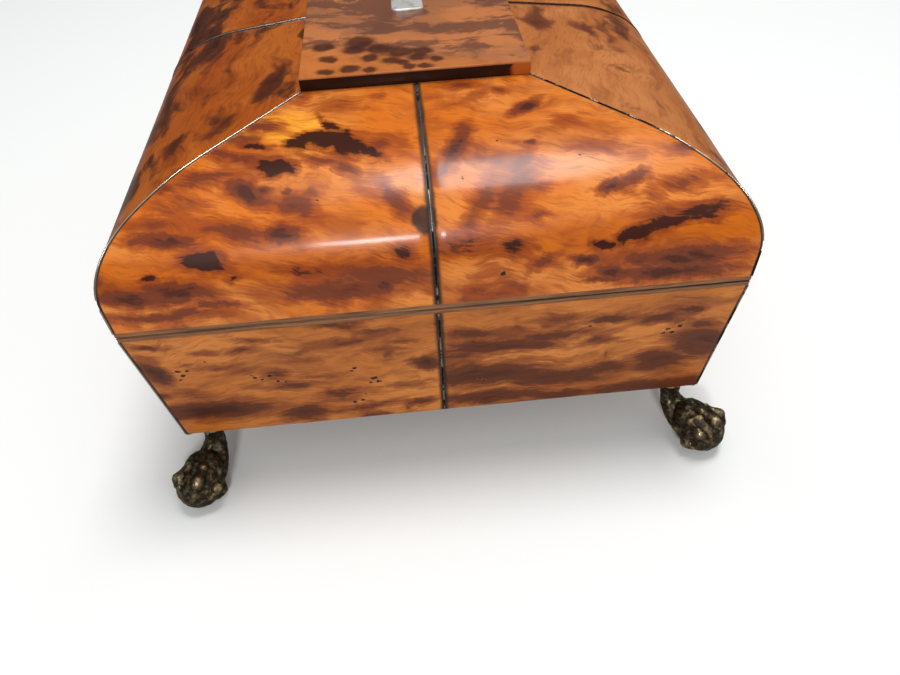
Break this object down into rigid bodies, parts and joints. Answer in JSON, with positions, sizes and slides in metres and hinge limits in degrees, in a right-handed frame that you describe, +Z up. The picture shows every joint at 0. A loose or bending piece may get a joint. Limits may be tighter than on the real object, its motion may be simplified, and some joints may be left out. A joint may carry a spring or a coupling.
{
  "type": "sewing box",
  "caption": "Tortoiseshell sewing box with a domed hinged lid, claw-and-ball feet, lock and a lift-out tray.",
  "frame": {"origin": "on the floor, under the middle of the box", "axes": "+X along the box's long side, -Y towards the front with the lock, +Y towards the back with the hinges, +Z up"},
  "size_m": [0.2792, 0.2137, 0.1293],
  "materials": {
    "carcase_wood": "old softwood, unpolished",
    "tortoiseshell": "polished blonde tortoiseshell, amber with dark blotches",
    "dark_stringing": "dark filler with a worn silver wire",
    "boxwood_edging": "pale strip, worn satin",
    "lining_paper": "old coloured paper",
    "patinated_brass": "dark patina with rubbed highlights",
    "old_brass": "old lacquered brass",
    "steel_screws": "dull steel",
    "silver_plaque": "polished silver, blank",
    "silk": "faded silk",
    "tray_wood": "polished mahogany",
    "bone": "turned bone, satin"
  },
  "bodies": {
    "base": {"bottom_board": "carcase_wood", "base_front_board": "carcase_wood", "base_back_board": "carcase_wood", "base_left_board": "carcase_wood", "base_right_board": "carcase_wood", "base_front_shell": "tortoiseshell", "base_back_shell": "tortoiseshell", "base_left_shell": "tortoiseshell", "base_right_shell": "tortoiseshell", "base_stringing": "dark_stringing", "base_rim_edging": "boxwood_edging", "base_lining": "lining_paper", "tray_ledges": "carcase_wood", "foot_front_left": "patinated_brass", "foot_front_right": "patinated_brass", "foot_back_left": "patinated_brass", "foot_back_right": "patinated_brass", "left_hinge_base_leaf": "old_brass", "right_hinge_base_leaf": "old_brass", "hinge_pins": "old_brass", "base_screws": "steel_screws", "lock_case": "old_brass", "keyhole_escutcheon": "old_brass"},
    "lid": {"lid_front_board": "carcase_wood", "lid_back_board": "carcase_wood", "lid_left_board": "carcase_wood", "lid_right_board": "carcase_wood", "lid_top_board": "carcase_wood", "lid_front_shell": "tortoiseshell", "lid_back_shell": "tortoiseshell", "lid_left_shell": "tortoiseshell", "lid_right_shell": "tortoiseshell", "lid_stringing": "dark_stringing", "lid_rim_edging": "boxwood_edging", "tablet_core": "carcase_wood", "tablet_shell": "tortoiseshell", "name_plaque": "silver_plaque", "lid_lining": "lining_paper", "lid_silk_pad": "silk", "lock_link_plate": "old_brass", "lid_screws": "steel_screws", "left_hinge_lid_leaf": "old_brass", "right_hinge_lid_leaf": "old_brass"},
    "lock_bolt": {"lock_bolt": "old_brass"},
    "tray": {"tray_sides": "tray_wood", "tray_bottom": "tray_wood", "tray_dividers": "tray_wood", "pincushion": "silk", "reel_spindles": "old_brass"},
    "left_cover": {"left_cover_panel": "tray_wood", "left_cover_pad": "silk", "left_cover_knob": "bone"},
    "right_cover": {"right_cover_panel": "tray_wood", "right_cover_pad": "silk", "right_cover_knob": "bone"},
    "reel_1": {"reel_1": "bone"},
    "reel_2": {"reel_2": "bone"},
    "reel_3": {"reel_3": "bone"},
    "reel_4": {"reel_4": "bone"}
  },
  "joints": [
    {"name": "lid_hinge", "type": "hinge", "parent": "base", "child": "lid", "pos_m": [0, 0.1023, 0.08], "axis": [-1, 0, 0], "range_deg": [0, 95]},
    {"name": "bolt_slide", "type": "slide", "parent": "base", "child": "lock_bolt", "axis": [-1, 0, 0], "range_m": [0, 0.0042]},
    {"name": "tray_lift", "type": "slide", "parent": "base", "child": "tray", "axis": [0, 0, 1], "range_m": [0, 0.01]},
    {"name": "left_cover_lift", "type": "slide", "parent": "tray", "child": "left_cover", "axis": [0, 0, 1], "range_m": [0, 0.008]},
    {"name": "right_cover_lift", "type": "slide", "parent": "tray", "child": "right_cover", "axis": [0, 0, 1], "range_m": [0, 0.008]},
    {"name": "reel_1_spin", "type": "hinge", "parent": "tray", "child": "reel_1", "pos_m": [-0.039, 0.07041, 0.06], "axis": [0, 0, 1], "continuous": true},
    {"name": "reel_2_spin", "type": "hinge", "parent": "tray", "child": "reel_2", "pos_m": [-0.013, 0.07041, 0.06], "axis": [0, 0, 1], "continuous": true},
    {"name": "reel_3_spin", "type": "hinge", "parent": "tray", "child": "reel_3", "pos_m": [0.013, 0.07041, 0.06], "axis": [0, 0, 1], "continuous": true},
    {"name": "reel_4_spin", "type": "hinge", "parent": "tray", "child": "reel_4", "pos_m": [0.039, 0.07041, 0.06], "axis": [0, 0, 1], "continuous": true}
  ]
}
